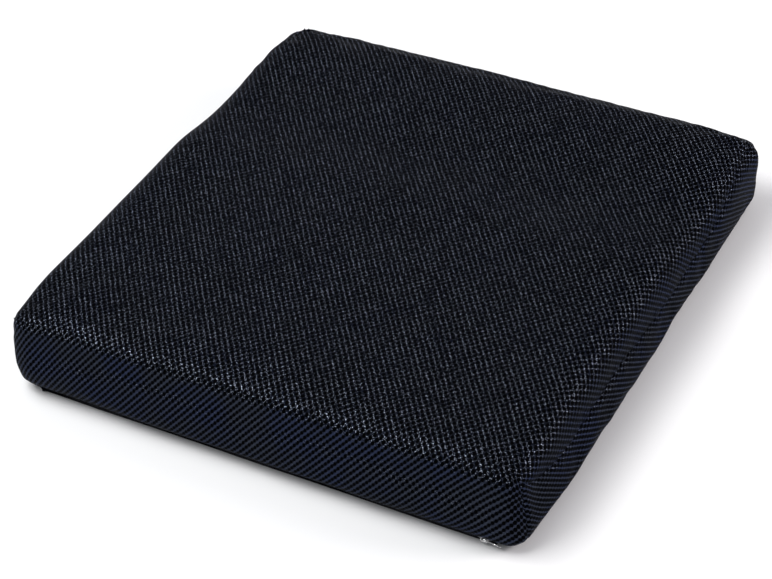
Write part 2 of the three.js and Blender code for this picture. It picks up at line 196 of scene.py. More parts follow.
def top_height(x, y):
    """Height of the top of the foam and cover, before the edges round it off."""
    along = (
        front_height
        - (front_height - dip_height) * smooth(y, dip_from, dip_to)
        + (ridge_height - dip_height) * smooth(y, ridge_from, ridge_to)
        - (ridge_height - rear_height) * smooth(y, rear_fall_from, half_depth)
    )
    along += rear_tilt * x / half_width * smooth(y, rear_fall_from, half_depth)
    to_corner = np.hypot(half_width - np.abs(x), half_depth + y)
    along -= corner_droop * bump(to_corner, 0, corner_droop_reach)
    return along + crown * (1 - (x / half_width) ** 2)


def side_seam(y):
    """Height of a side panel's top seam: it hangs between the raised corners, unevenly."""
    to_front = sum(0.5 * smooth(-y, start, end) for start, end in side_seam_front_rises)
    return (
        side_seam_height
        + (front_corner_height - side_seam_height) * to_front
        + (rear_corner_height - side_seam_height) * smooth(y, *side_seam_rear_rise)
        + sum(rise * bump(y, middle, reach) for rise, middle, reach in side_seam_waves)
    )


def back_seam(x):
    """Height of the back panel's top seam, which rises to both rear corners."""
    rise = rear_corner_height - back_seam_height
    return back_seam_height + rise * smooth(np.abs(x), back_seam_rises_from, back_seam_rises_to)


# ---------------- the cover's form

class Form:
    """The cushion's closed form, shrunk inwards by a depth: points on its top, walls and base."""

    def __init__(self, depth=0.0, bottom=None):
        self.depth = depth
        self.corner = corner_radius - depth
        self.top = top_radius - depth
        self.bottom = bottom_radius - depth if bottom is None else bottom
        self.inner_x = half_width - corner_radius
        self.inner_y = half_depth - corner_radius

    def height(self, x, y):
        return top_height(x, y) - self.depth

    def wall_out(self, z, height):
        """How far the wall stands out from the inner rectangle at height z."""
        up = np.clip((z - (height - self.top)) / self.top, 0, 1)
        down = np.clip((self.bottom - (z - self.depth)) / self.bottom, 0, 1)
        rounded = self.corner * (1 - up ** (2 / edge_power)) ** (edge_power / 2)
        return rounded - self.bottom * (1 - np.sqrt(1 - down**2))

    def roll_length(self, height, seam):
        """Length of cloth from the flat of the top, over its rounded edge, down to a seam."""
        turn = np.arccos(np.clip(1 - (height - seam) / self.top, 0, 1) ** (1 / edge_power))
        return self.top * turn + np.maximum(height - self.top - seam, 0)

    def roll(self, length, height):
        """(out, z) at a length of cloth over the top's rounded edge."""
        turn = np.clip(length / self.top, 0, np.pi / 2)
        below = np.maximum(length - self.top * np.pi / 2, 0)
        out = self.corner * np.sin(turn) ** edge_power
        return out, height - self.top * (1 - np.cos(turn) ** edge_power) - below

    def under_length(self, seam):
        """Length of cloth from the inner rectangle of the base, out to a seam above it."""
        turn = np.arccos(np.clip(1 - (seam - self.depth) / self.bottom, 0, 1))
        return self.corner - self.bottom + self.bottom * turn

    def under(self, length):
        """(out, z) at a length of cloth round the base's rounded edge."""
        flat = self.corner - self.bottom
        turn = np.clip((length - flat) / self.bottom, 0, np.pi / 2)
        above = np.maximum(length - flat - self.bottom * np.pi / 2, 0)
        out = np.minimum(length, flat) + self.bottom * np.sin(turn)
        return out, self.depth + self.bottom * (1 - np.cos(turn)) + above


class Grid:
    """Where the columns and rows of the panels stand, seen from above."""

    def __init__(self, form, columns=46, rows=48, flap=5, seam_out=0.0):
        self.form = form
        self.seam_out = seam_out
        self.across, self.fold_x = self.line(columns, flap)
        self.along, self.fold_y = self.line(rows, flap)

    @staticmethod
    def line(inside, flap):
        """Places from -1 to 1 on the flat, and the share of the fold past it at either end."""
        flat = np.linspace(-1, 1, inside + 1)
        fold = np.linspace(0, 1, flap + 1)[1:]
        place = np.concatenate([-np.ones(flap), flat, np.ones(flap)])
        return place, np.concatenate([-fold[::-1], np.zeros(inside + 1), fold])

    def plan(self):
        """For each grid point: its place on the flat, its direction past it, and its fold share."""
        x, y = np.meshgrid(self.across * self.form.inner_x, self.along * self.form.inner_y)
        fold_x, fold_y = np.meshgrid(self.fold_x, self.fold_y)
        share = np.maximum(np.abs(fold_x), np.abs(fold_y))
        towards_end = np.where(fold_y < 0, math.tan(front_corner_turn), 1.0)
        turn = np.arctan2(np.abs(fold_y) * towards_end, np.abs(fold_x))
        away = np.stack([np.cos(turn) * np.sign(fold_x), np.sin(turn) * np.sign(fold_y)], -1)
        return x, y, away, share, np.abs(fold_x) >= np.abs(fold_y)

    def seam_heights(self):
        """Height of the seam, or of the front edge line, that each point's fold runs down to."""
        x, y, away, share, sideways = self.plan()
        reach = self.form.corner * share
        edge_x, edge_y = x + away[..., 0] * reach, y + away[..., 1] * reach
        ends = np.where(edge_y > 0, back_seam(edge_x), front_corner_height)
        return np.where(sideways, side_seam(edge_y), ends)

    def spread(self, out, z, edge=slice(None)):
        """Points that stand out from the flat by a distance, at a height."""
        x, y, away, _, _ = (part[edge] for part in self.plan())
        return np.stack([x + away[..., 0] * out, y + away[..., 1] * out, z + np.zeros_like(x)], -1)

    def heights(self):
        x, y, away, _, _ = self.plan()
        reach = self.form.corner
        return self.form.height(x + away[..., 0] * reach, y + away[..., 1] * reach)

    def seam_flare(self):
        """How far the seams of the side strips stand out, away from the corners."""
        x, y, _, _, sideways = self.plan()
        place = np.abs(np.where(sideways, y, x))
        reach = np.where(sideways, half_depth, half_width)
        has_strip = sideways | (y > 0)
        fade_from, fade_to = (reach - distance for distance in seam_out_ends)
        return self.seam_out * has_strip * (1 - smooth(place, fade_from, fade_to))

    def top(self, puff=0.0):
        """The top and its rounded edge, which the filling puffs out before the seam holds it in."""
        share, height = self.plan()[3], self.heights()
        out, z = self.form.roll(share * self.form.roll_length(height, self.seam_heights()), height)
        full = puff * np.sin(np.pi * share)
        return self.spread(out + full + self.seam_flare() * smooth(share, 0, 1), z + 0.5 * full)

    def base(self, seam):
        out, z = self.form.under(self.plan()[3] * self.form.under_length(seam))
        return self.spread(out, z)

    def lid(self, z):
        """A level sheet across the whole form."""
        return self.spread(self.plan()[3] * self.form.wall_out(z, self.heights()), z)

    def wall(self, edge, low, rows, high=None, puff=0.0):
        """Rows of points down a wall, from the edge line of the top, or a height, to a height below."""
        high = self.seam_heights()[edge] if high is None else high
        height, flare = self.heights()[edge], self.seam_flare()[edge]
        forward = smooth(-self.spread(0, 0, edge)[:, 1], -40 * MM, 60 * MM)
        puff = puff * (1 + puff_front_extra * forward)
        made = []
        for share in np.linspace(0, 1, rows + 1):
            z = high + (low - high) * share
            full = puff * np.sin(np.pi * share**1.5) + flare * (1 - share**2)
            made.append(self.spread(self.form.wall_out(z, height) + full, z, edge))
        return np.array(made)


wall_rows = 8  # rows of grid cells down the front and the side strips

# The four edge lines of a grid, each read from left to right as a person outside would see it.
FRONT = (0, slice(None))
RIGHT = (slice(None), -1)
BACK = (-1, slice(None, None, -1))
LEFT = (slice(None, None, -1), 0)


# The zip's own frame: X along the chain, Y across it and up, Z straight out of the cushion.
zip_frame = Matrix.Translation((0, -half_depth + bottom_radius, bottom_radius)) @ Matrix.Rotation(
    math.pi / 2 + zip_angle, 4, "X"
)


def slot_closed(x):
    """0 along the zip's slot and 1 past its ends."""
    return smooth(np.abs(x), slot_closes_from, zip_half_length + zip_slot_fade)


def zip_slot_height(x, lip_angle):
    """Height of a lip of the zip's slot, which closes on the base seam past the zip's ends."""
    open_height = bottom_radius * (1 - math.sin(lip_angle))
    return open_height + (base_seam_height - open_height) * slot_closed(x)


def cover_grids():
    """The cover's panels as grids of points, sewn edge to edge, with the zip's slot left open."""
    grid = Grid(Form(), seam_out=seam_out)
    x_front = grid.lid(top_radius)[FRONT][:, 0]
    lip_seam = np.full(grid.plan()[0].shape, base_seam_height)
    lip_seam[0] = zip_slot_height(x_front, lower_lip_angle)
    drawn_up = lip_rise * sum(bump(x_front, middle, reach) for middle, reach in lip_waves)
    lip = zip_slot_height(x_front, upper_lip_angle) + drawn_up
    front = grid.wall(FRONT, lip, wall_rows, puff=front_puff)
    lifted = smooth(np.linspace(0, 1, wall_rows + 1), lip_lift_from, lip_lift_to)
    front[..., 1] -= lip_lift * lifted[:, None] * (1 - slot_closed(x_front))
    return {
        "top_front": np.concatenate([grid.top(edge_puff)[::-1], front[1:]]),
        "side_right": grid.wall(RIGHT, base_seam_height, wall_rows, puff=side_puff),
        "side_left": grid.wall(LEFT, base_seam_height, wall_rows, puff=side_puff),
        "back": grid.wall(BACK, base_seam_height, wall_rows, puff=side_puff),
        "base": grid.base(lip_seam),
    }


# ---------------- grids, meshes and objects

def grid_faces(shape, start=0):
    rows, columns = shape
    at = start + np.arange(rows * columns).reshape(rows, columns)
    return np.stack([at[:-1, :-1], at[1:, :-1], at[1:, 1:], at[:-1, 1:]], -1).reshape(-1, 4)


def new_object(name, points, faces):
    mesh = bpy.data.meshes.new(name)
    mesh.from_pydata([tuple(p) for p in np.asarray(points).reshape(-1, 3)], [], [tuple(f) for f in faces])
    mesh.update()
    made = bpy.data.objects.new(name, mesh)
    bpy.context.scene.collection.objects.link(made)
    mesh.shade_smooth()
    return made


def read_points(thing):
    data = np.zeros(len(thing.data.vertices) * 3)
    thing.data.vertices.foreach_get("co", data)
    return data.reshape(-1, 3)


def resample(values, places, axis):
    """Values read between the points of a grid's axis, on a smooth curve through the points."""
    values = np.moveaxis(values, axis, 0)
    ends = [2 * values[:1] - values[1:2], values, 2 * values[-1:] - values[-2:-1]]
    padded = np.concatenate(ends)
    cell = np.clip(np.floor(places).astype(int), 0, len(values) - 2)
    t = (places - cell).reshape(-1, *[1] * (values.ndim - 1))
    before, here, after, beyond = (padded[cell + k] for k in range(4))
    curve = (
        2 * here
        + (after - before) * t
        + (2 * before - 5 * here + 4 * after - beyond) * t**2
        + (3 * here - before - 3 * after + beyond) * t**3
    ) / 2
    return np.moveaxis(curve, 0, axis)


def fine_places(count, per_cell):
    """Places for a finer grid, closer together beside both edges, where the fabric turns in."""
    even = np.linspace(0, count - 1, (count - 1) * per_cell + 1)
    close = np.array([0.1, 0.22])
    return np.unique(np.concatenate([even, close, count - 1 - close]))


def running_length(points, axis, centred=True):
    """Length along a grid's lines, from the middle line or from the first."""
    step = np.linalg.norm(np.diff(points, axis=axis), axis=-1)
    start = np.zeros_like(np.take(step, [0], axis=axis))
    length = np.cumsum(np.concatenate([start, step], axis), axis=axis)
    if centred:
        length -= np.take(length, [length.shape[axis] // 2], axis=axis)
    return length


def grid_normals(points):
    down = np.gradient(points, axis=0)
    across = np.gradient(points, axis=1)
    normal = np.cross(down, across)
    return normal / np.maximum(np.linalg.norm(normal, axis=-1, keepdims=True), 1e-12)


def joined(sheets):
    """The points and faces of several grids, one after another."""
    starts = np.cumsum([0, *(sheet[..., 0].size for sheet in sheets)])
    points = np.concatenate([sheet.reshape(-1, 3) for sheet in sheets])
    faces = [grid_faces(sheet.shape[:2], start) for sheet, start in zip(sheets, starts)]
    return points, np.concatenate(faces)


def thicken(made, thickness):
    """Gives a sheet its thickness, inwards."""
    layer = made.modifiers.new("thickness", "SOLIDIFY")
    layer.thickness = thickness
    layer.offset = -1


def cloth_sheet(name, points, weave, thickness):
    """A grid of points as a sheet of cloth that knows each point's place on its weave."""
    faces = grid_faces(points.shape[:2])
    made = new_object(name, points, faces)
    layer = made.data.uv_layers.new(name="weave")
    layer.data.foreach_set("uv", weave.reshape(-1, 2)[faces.ravel()].ravel())
    thicken(made, thickness)
    return made


# ---------------- cloth simulation of the cover

def swell(grids):
    """Lets pressure swell the sewn cover between its seams, which the stitches hold in place."""
    before, faces = joined(list(grids.values()))
    body = new_object("cover_simulation", before, faces)

    held = np.concatenate([stitched(name, grid).ravel() for name, grid in grids.items()])
    group = body.vertex_groups.new(name="held")
    for index in np.flatnonzero(held > 0):
        group.add([int(index)], float(held[index]), "REPLACE")

    settings = body.modifiers.new("cloth", "CLOTH").settings
    settings.quality = 6
    settings.mass = 0.35
    settings.tension_stiffness = settings.compression_stiffness = 60
    settings.shear_stiffness = 20
    settings.bending_stiffness = 4
    settings.shrink_min = -0.002
    settings.use_pressure = True
    settings.uniform_pressure_force = 4
    settings.effector_weights.gravity = 0
    settings.vertex_group_mass = "held"
    scene = bpy.context.scene
    for step in range(1, 21):
        scene.frame_set(step)
    evaluated = body.evaluated_get(bpy.context.evaluated_depsgraph_get())
    swollen = read_points(evaluated)
    bpy.data.objects.remove(body)
    scene.frame_set(1)

    moved = swollen - before
    distance = np.linalg.norm(moved, axis=1, keepdims=True)
    limits = [np.full(grid[..., 0].size, swell_limit[name]) for name, grid in grids.items()]
    limit = np.concatenate(limits)[:, None]
    moved *= limit * np.tanh(distance / limit) / np.maximum(distance, 1e-9)
    result, start = {}, 0
    for name, grid in grids.items():
        count = grid[..., 0].size
        result[name] = (before + moved)[start:start + count].reshape(grid.shape)
        start += count
    return result


def stitched(name, grid):
    """1 where the seams and the base hold the cover still, and 0 where it is free to swell."""
    held = np.zeros(grid.shape[:2])
    held[[0, -1], :] = 1
    held[:, [0, -1]] = 1
    if name == "base":
        held[:] = 1
    return held


# ---------------- sewn panels

def wobble(place, seed, scale):
    """Smooth, repeatable unevenness from -1 to 1 along a line or over a surface."""
    return noise.noise(Vector(place) / scale + Vector((seed, 2.3 * seed, 5.1 * seed)))


def seam_distances(points, seams):
    """Distance of each grid point from the nearest sewn edge."""
    down = running_length(points, 0, centred=False)
    across = running_length(points, 1, centred=False)
    edges = {
        "first_row": down,
        "last_row": down[-1:] - down,
        "first_column": across,
        "last_column": across[:, -1:] - across,
    }
    return np.min([edges[edge] for edge in seams], axis=0)


ALL_SEAMS = ("first_row", "last_row", "first_column", "last_column")
PANELS = {
    "top_front": {"seams": ("first_row", "first_column", "last_column"), "detail": 3, "seed": 3},
    "side_right": {"seams": ALL_SEAMS, "detail": 3, "seed": 11},
    "side_left": {"seams": ALL_SEAMS, "detail": 3, "seed": 23},
    "back": {"seams": ALL_SEAMS, "detail": 3, "seed": 31},
    "base": {"seams": ("last_row", "first_column", "last_column"), "detail": 2, "seed": 43},
}


def knit_places(name, points):
    """Place on the knit, in metres, of each point: (across the ribs, along the ribs)."""
    across, down = running_length(points, 1), running_length(points, 0)
    if name in ("side_right", "side_left", "back"):
        return np.stack([-down / side_stretch_down, across / side_stretch_along], -1)
    turned_across = across * math.cos(knit_turn) - down * math.sin(knit_turn)
    turned_down = across * math.sin(knit_turn) + down * math.cos(knit_turn)
    return np.stack([turned_across, turned_down], -1)


def sewn_panel(name, coarse):
    """One panel as a fine mesh: puckered by its stitches, and turned in along its seams."""
    style = PANELS[name]
    rows = fine_places(coarse.shape[0], style["detail"])
    columns = fine_places(coarse.shape[1], style["detail"])
    points = resample(resample(coarse, rows, 0), columns, 1)
    weave = knit_places(name, points)
    distance = seam_distances(points, style["seams"])
    normals = grid_normals(points)
    seed = style["seed"]

    shape = points.shape[:2]
    pucker, slack = np.zeros(shape), np.zeros(shape)
    for at in np.ndindex(shape):
        place = points[at]
        slack[at] = wobble(place, seed, slack_spacing)
        if distance[at] < 3 * pucker_reach:
            pucker[at] = wobble(place, seed + 0.5, pucker_spacing)
    near = np.exp(-((distance / pucker_reach) ** 2))
    groove = np.exp(-((distance / groove_reach) ** 2))
    raised = pucker_depth * pucker * near + slack_depth * slack * (1 - groove) - groove_depth * groove
    if name == "base":
        raised *= smooth(points[..., 2], 0.5 * MM, base_seam_height)
        points[..., 2] += grip_height * (1 - smooth(points[..., 2], 0, base_seam_height))
    points = points + normals * raised[..., None]
    return points, weave, normals


def edge_lips(points, weave, normals):
    """The grid with a seam allowance turned inwards round all four edges."""
    points = np.pad(points, ((1, 1), (1, 1), (0, 0)), mode="edge")
    inward = np.pad(normals, ((1, 1), (1, 1), (0, 0)), mode="edge") * lip_depth
    border = np.ones(points.shape[:2], bool)
    border[1:-1, 1:-1] = False
    points[border] -= inward[border]
    weave = np.pad(weave, ((1, 1), (1, 1), (0, 0)), mode="reflect", reflect_type="odd")
    return points, weave


def lean(x, y, z):
    """How far the filled cover leans to the right at a place: its sides don't stand quite upright."""
    low, front = 1 - smooth(z, 0, foot_height), 1 - smooth(y, -35 * MM, 45 * MM)
    lower_half = 1 - smooth(z, *ears_from_to)
    outwards = smooth(x, 0.8 * half_width, half_width)
    to_left_corner = np.hypot(half_width + x, half_depth + y)
    to_rear_corner = np.hypot(half_width - np.abs(x), half_depth - y)
    return (
        right_flare * low * front * outwards
        - rear_taper * x * smooth(y, -20 * MM, 60 * MM) * lower_half
        + left_corner_dent * bump(to_left_corner, 0, lean_corner_reach) * (1 + 2 * low)
        + rear_corner_ears * np.sign(x) * bump(to_rear_corner, 0, ear_reach) * (1 - lower_half)
    )


def clear_of_pull(points):
    """Pushes the cloth in under the zip's pull, where it lies at rest."""
    inverse = np.array(zip_frame.inverted())
    local = points @ inverse[:3, :3].T + inverse[:3, 3]
    x, across, out = np.moveaxis(local, -1, 0)
    starts, ends = smooth(x, pull_from - dent_fade, pull_from), smooth(x, pull_to, pull_to + dent_fade)
    near = starts * (1 - ends) * (1 - smooth(np.abs(across), pull_half_width, dent_fade))
    local[..., 2] -= near * np.maximum(out - pull_floor, 0)
    turn = np.array(zip_frame)
    return local @ turn[:3, :3].T + turn[:3, 3]


def panel_object(name, coarse):
    points, weave = edge_lips(*sewn_panel(name, coarse))
    points[..., 0] += lean(*np.moveaxis(points, -1, 0))
    points = clear_of_pull(points)
    made = cloth_sheet(name, points, weave, fabric_thickness)
    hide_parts(f"cover_{name}")
    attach(made, "cushion")
    return made, points


def along_line(at, run, values):
    """Values of a line of points, read at lengths along it."""
    return np.stack([np.interp(at, run, values[:, axis]) for axis in range(3)], -1)


def topstitches(name, points, row, material):
    """A row of stitches in thick thread along one row of a panel's grid."""
    line, outward = points[row], grid_normals(points)[row]
    run = running_length(line[None], 1, centred=False)[0]
    starts = np.arange(0, run[-1], stitch_spacing)
    starts = starts[np.abs(np.interp(starts, run, line[:, 0])) < stitched_half_length]
    made_points, made_faces = [], []
    for start in starts:
        at = start + np.linspace(0, stitch_length, 7)
        sunk = stitch_radius * np.cos(np.linspace(-np.pi, np.pi, 7))
        middle, up = along_line(at, run, line), along_line(at, run, outward)
        ring_points, ring_faces = tube(middle + up * sunk[:, None], stitch_radius, 6)
        made_faces += [tuple(len(made_points) * len(ring_points) + k for k in face) for face in ring_faces]
        made_points.append(ring_points)
    made = new_object(name, np.concatenate(made_points), made_faces)
    dress(made, material)
    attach(made, "cushion")


# ---------------- materials

class Shader:
    """A material's node tree, with short ways to add and join nodes."""

    def __init__(self, name):
        self.material = bpy.data.materials.new(name)
        self.material.use_nodes = True
        self.tree = self.material.node_tree
        self.surface = self.tree.nodes["Principled BSDF"]

    def node(self, kind, inputs=(), **settings):
        made = self.tree.nodes.new(kind)
        for name, value in settings.items():
            setattr(made, name, value)
        for socket, value in dict(inputs).items():
            self.feed(made.inputs[socket], value)
        return made

    def feed(self, socket, value):
        if isinstance(value, bpy.types.NodeSocket):
            self.tree.links.new(value, socket)
        else:
            socket.default_value = value

    def math(self, operation, first, second=0.0, third=0.0):
        return self.node("ShaderNodeMath", {0: first, 1: second, 2: third}, operation=operation).outputs[0]

    def vector(self, operation, first, second=(0, 0, 0)):
        socket = "Scale" if operation == "SCALE" else 1
        made = self.node("ShaderNodeVectorMath", {0: first, socket: second}, operation=operation)
        return made.outputs["Value" if operation == "LENGTH" else "Vector"]

    def span(self, value, low, high, to_low=0.0, to_high=1.0):
        """A value mapped smoothly from one span to another, and clamped."""
        made = self.node("ShaderNodeMapRange", {
            "Value": value, "From Min": low, "From Max": high, "To Min": to_low, "To Max": to_high,
        }, interpolation_type="SMOOTHSTEP")
        return made.outputs["Result"]

    def mix(self, share, first, second):
        made = self.node("ShaderNodeMix", data_type="RGBA")
        self.feed(made.inputs["Factor"], share)
        self.feed(made.inputs[6], first)
        self.feed(made.inputs[7], second)
        return made.outputs[2]

    def weave(self, scale=(1, 1)):
        """Place on the cloth, in metres, divided by a pattern's size."""
        place = self.node("ShaderNodeUVMap", uv_map="weave").outputs["UV"]
        return self.vector("DIVIDE", place, (*scale, 1))

    def place(self):
        return self.node("ShaderNodeTexCoord").outputs["Object"]

    def noise(self, place, scale, detail=2.0, roughness=0.5):
        made = self.node("ShaderNodeTexNoise", {
            "Vector": place, "Scale": scale, "Detail": detail, "Roughness": roughness,
        })
        return made.outputs["Fac"]

    def cells(self, place, scale):
        made = self.node("ShaderNodeTexVoronoi", {"Vector": place, "Scale": scale})
        return made.outputs["Distance"], made.outputs["Color"]

    def finish(self, colour, roughness, height=None, strength=1.0, distance=0.3 * MM, **plain):
        self.feed(self.surface.inputs["Base Color"], colour)
        self.feed(self.surface.inputs["Roughness"], roughness)
        for name, value in plain.items():
            self.surface.inputs[name.replace("_", " ")].default_value = value
        if height is not None:
            lift = self.node("ShaderNodeBump", {
                "Height": height, "Strength": strength, "Distance": distance,
            })
            self.tree.links.new(lift.outputs["Normal"], self.surface.inputs["Normal"])
        return self.material


def spacer_mesh(name, side_strip=False):
    """Black air mesh: bright filament yarn knitted round staggered oval holes, in slanting ribs.

    The seat is painted darker than the upright cloth, as painted shade, with darker threads and
    wider holes, and carries painted glints on its ribs; the cloth that faces the sides is pulled
    tighter, which opens its holes.
    """
    shader = Shader(name)
    cloth = shader.weave((hole_pitch_across, hole_pitch_along))
    size = (hole_pitch_across / hole_half_width, hole_pitch_along / hole_half_length, 0)
    ovals = []
    for shift in (0.0, 0.5):
        cell = shader.vector("FRACTION", shader.vector("ADD", cloth, (shift, shift, 0)))
        centred = shader.vector("SUBTRACT", cell, (0.5, 0.5, 0))
        ovals.append(shader.vector("LENGTH", shader.vector("MULTIPLY", centred, size)))
    metres = shader.weave()
    ragged = shader.noise(shader.vector("SCALE", metres, 800.0), 1.0)
    facing = shader.node("ShaderNodeSeparateXYZ", {0: shader.node("ShaderNodeTexCoord").outputs["Normal"]})
    front = shader.span(facing.outputs["Y"], -0.75, -0.45, 1.0, 0.0)
    seat = shader.span(facing.outputs["Z"], 0.15, 0.75)
    sideways = shader.span(shader.math("ABSOLUTE", facing.outputs["X"]), 0.4, 0.8)
    # Painted shade: the holes are opened wider on the upward-facing seat, which darkens it.
    seat_painted_shade_opening = shader.math("MULTIPLY", seat, 0.16)
    side_opening = shader.math("MULTIPLY", sideways, 0.3)
    opening = shader.math("MAXIMUM", seat_painted_shade_opening, side_opening)

    oval = shader.math("ADD", shader.math("MINIMUM", *ovals), shader.span(ragged, 0.2, 0.8, -0.15, 0.15))
    oval = shader.math("SUBTRACT", oval, 0.25 if side_strip else opening)
    yarn = shader.span(oval, 0.86, 1.18)

    # The ribs slant one way on the seat, and the other way on the front and the side strips.
    parts = shader.node("ShaderNodeSeparateXYZ", {0: cloth})
    ribs = []
    for operation in ("SUBTRACT", "ADD"):
        phase = shader.math(operation, parts.outputs["X"], parts.outputs["Y"])
        wave = shader.math("COSINE", shader.math("MULTIPLY", phase, 2 * math.pi))
        ribs.append(shader.math("MULTIPLY_ADD", wave, -0.5, 0.5))
    other_way = 1.0 if side_strip else shader.math("MULTIPLY_ADD", sideways, 0.6, front)
    rib = shader.node("ShaderNodeMix", {0: other_way, 2: ribs[0], 3: ribs[1]}).outputs[0]

    strands = shader.noise(shader.vector("MULTIPLY", metres, (2600, 1300, 1)), 1.0, 1.0)
    sparkle = shader.noise(shader.vector("MULTIPLY", metres, (1500, 1200, 1)), 1.0, 1.0, 0.4)
    patches = shader.noise(shader.place(), 30.0, 3.0)
    shine = shader.math("MULTIPLY_ADD", strands, 0.56, shader.math("MULTIPLY", rib, 0.54))
    tint = shader.mix(shader.span(patches, 0.35, 0.65), thread_blue, thread_grey)
    thread = shader.mix(shader.span(shine, 0.28, 0.82), thread_dark, tint)
    # Painted shade: the upward-facing seat's threads are darkened towards thread_dark, so the top reads
    # darker than the upright cloth.
    thread = shader.mix(shader.math("MULTIPLY", seat, 0.84), thread, thread_dark)
    # Painted highlights: the glint colour is painted into the threads in specks along the ribs, mostly on
    # the upward-facing seat where the lamps catch the filaments, and only faintly on upright cloth.
    seat_painted_glint_share = shader.math("MULTIPLY_ADD", seat, 0.92, 0.08)
    painted_glint_mask = shader.math("MULTIPLY", shader.span(sparkle, 0.60, 0.71), seat_painted_glint_share)
    painted_glint_mask = shader.math("MULTIPLY", painted_glint_mask, shader.math("MULTIPLY_ADD", rib, 0.85, 0.15))
    thread = shader.mix(shader.math("MULTIPLY", painted_glint_mask, yarn), thread, painted_glint_colour)
    colour = shader.mix(yarn, hole_colour, thread)
    roughness = shader.span(sparkle, 0.45, 0.7, 0.55, 0.36)
    height = shader.math("ADD", shader.math("MULTIPLY", yarn, 0.8), shader.math("MULTIPLY", strands, 0.4))
    return shader.finish(
        colour, roughness, height, strength=0.6, distance=0.5 * MM, Metallic=0.45, Specular_IOR_Level=0.01,
        Specular_Tint=(0.5, 0.5, 0.5, 1),
    )


def plain_weave(name, dark, light, pitch):
    """A tight woven cloth: threads over and under, with uneven dye."""
    shader = Shader(name)
    threads = shader.weave((pitch, pitch))
    warp = shader.node("ShaderNodeSeparateXYZ", {0: threads})
    over = shader.math("SINE", shader.math("MULTIPLY", warp.outputs["X"], math.pi))
    under = shader.math("SINE", shader.math("MULTIPLY", warp.outputs["Y"], math.pi))
    bob = shader.math("ABSOLUTE", shader.math("MULTIPLY", over, under))
    stain = shader.noise(shader.place(), 35.0, 4.0)
    fleck = shader.noise(threads, 1.7, 1.0)
    shade = shader.mix(shader.span(bob, 0.1, 0.8), dark, light)
    colour = shader.mix(shader.math("MULTIPLY", shader.span(stain, 0.35, 0.7), 0.35), shade, dark)
    roughness = shader.span(fleck, 0.3, 0.7, 0.75, 0.95)
    return shader.finish(colour, roughness, bob, strength=0.6, distance=0.25 * MM, Specular_IOR_Level=0.12)


def jersey():
    shader = Shader("liner_jersey")
    rib = shader.vector("MULTIPLY", shader.place(), (1100, 1100, 1100))
    parts = shader.node("ShaderNodeSeparateXYZ", {0: rib})
    loops = shader.math("SINE", parts.outputs["X"])
    slub = shader.noise(shader.place(), 60.0, 3.0)
    height = shader.math("ADD", loops, slub)
    colour = shader.mix(shader.span(slub, 0.3, 0.7), (0.70, 0.69, 0.65, 1), (0.80, 0.79, 0.76, 1))
    return shader.finish(colour, 0.9, height, strength=0.3, distance=0.2 * MM, Sheen_Weight=0.3)


def foam(name, pale, deep, pore):
    shader = Shader(name)
    distance, _ = shader.cells(shader.place(), 1 / pore)
    fine, _ = shader.cells(shader.place(), 2.6 / pore)
    tone = shader.noise(shader.place(), 14.0, 4.0)
    pores = shader.span(distance, 0.1, 0.45)
    height = shader.math("ADD", pores, shader.math("MULTIPLY", fine, 0.5))
    body = shader.mix(shader.span(tone, 0.3, 0.7), pale, deep)
    colour = shader.mix(pores, tuple(0.6 * c for c in deep[:3]) + (1,), body)
    return shader.finish(colour, 0.95, height, strength=0.5, distance=0.5 * MM, Subsurface_Weight=0.1)


def nylon():
    shader = Shader("zip_nylon")
    scuff = shader.noise(shader.place(), 900.0, 3.0)
    colour = shader.mix(shader.span(scuff, 0.4, 0.75), (0.005, 0.006, 0.008, 1), (0.020, 0.021, 0.026, 1))
    return shader.finish(
        colour, shader.span(scuff, 0.3, 0.7, 0.35, 0.55), scuff, strength=0.15, Specular_IOR_Level=0.2,
    )


def nickel():
    shader = Shader("zip_metal")
    smudge = shader.noise(shader.place(), 260.0, 4.0)
    grain = shader.noise(shader.vector("MULTIPLY", shader.place(), (300, 2600, 2600)), 1.0, 2.0)
    colour = shader.mix(shader.span(smudge, 0.35, 0.7), (0.62, 0.62, 0.63, 1), (0.40, 0.39, 0.38, 1))
    roughness = shader.span(smudge, 0.3, 0.75, 0.2, 0.42)
    return shader.finish(colour, roughness, grain, strength=0.12, distance=0.1 * MM, Metallic=1.0)


def grip_rubber():
    shader = Shader("grip_rubber")
    dust = shader.noise(shader.place(), 420.0, 4.0)
    colour = shader.mix(shader.span(dust, 0.45, 0.8), (0.012, 0.012, 0.013, 1), (0.06, 0.058, 0.055, 1))
    return shader.finish(colour, shader.span(dust, 0.3, 0.7, 0.5, 0.75), dust, strength=0.2)


def floor_paint():
    shader = Shader("floor")
    tone = shader.noise(shader.place(), 3.0, 3.0)
    colour = shader.mix(tone, (0.80, 0.80, 0.80, 1), (0.83, 0.83, 0.83, 1))
    return shader.finish(colour, 0.9)


def dress(thing, material):
    thing.data.materials.clear()
    thing.data.materials.append(material)


# ---------------- base grip dots

